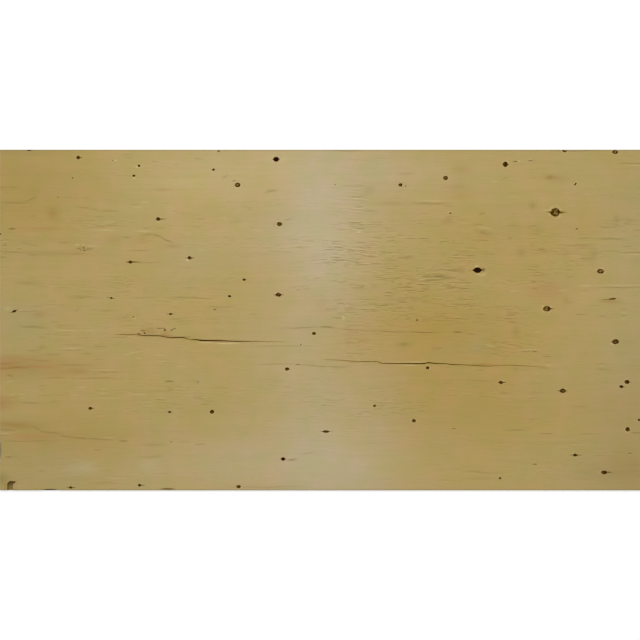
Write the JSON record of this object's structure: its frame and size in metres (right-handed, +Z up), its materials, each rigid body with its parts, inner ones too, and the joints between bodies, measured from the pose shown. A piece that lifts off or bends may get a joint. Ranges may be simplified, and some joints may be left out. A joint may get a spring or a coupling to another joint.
{
  "type": "softwood plywood sheet",
  "caption": "Flat rectangular sheet of softwood sheathing plywood with square sawn edges, cross-bonded plies, fallen knots, drying splits and chipped edges.",
  "frame": {"origin": "centre of the back face, on which the sheet lies", "axes": "+X along the face grain and the length, +Y across the sheet, +Z up out of the face"},
  "size_m": [2.438, 1.219, 0.0155],
  "materials": {
    "spruce_plywood": "rotary-peeled spruce veneer, unsanded, with sawn edges"
  },
  "bodies": {
    "root": {"plywood_sheet": "spruce_plywood"}
  },
  "joints": []
}
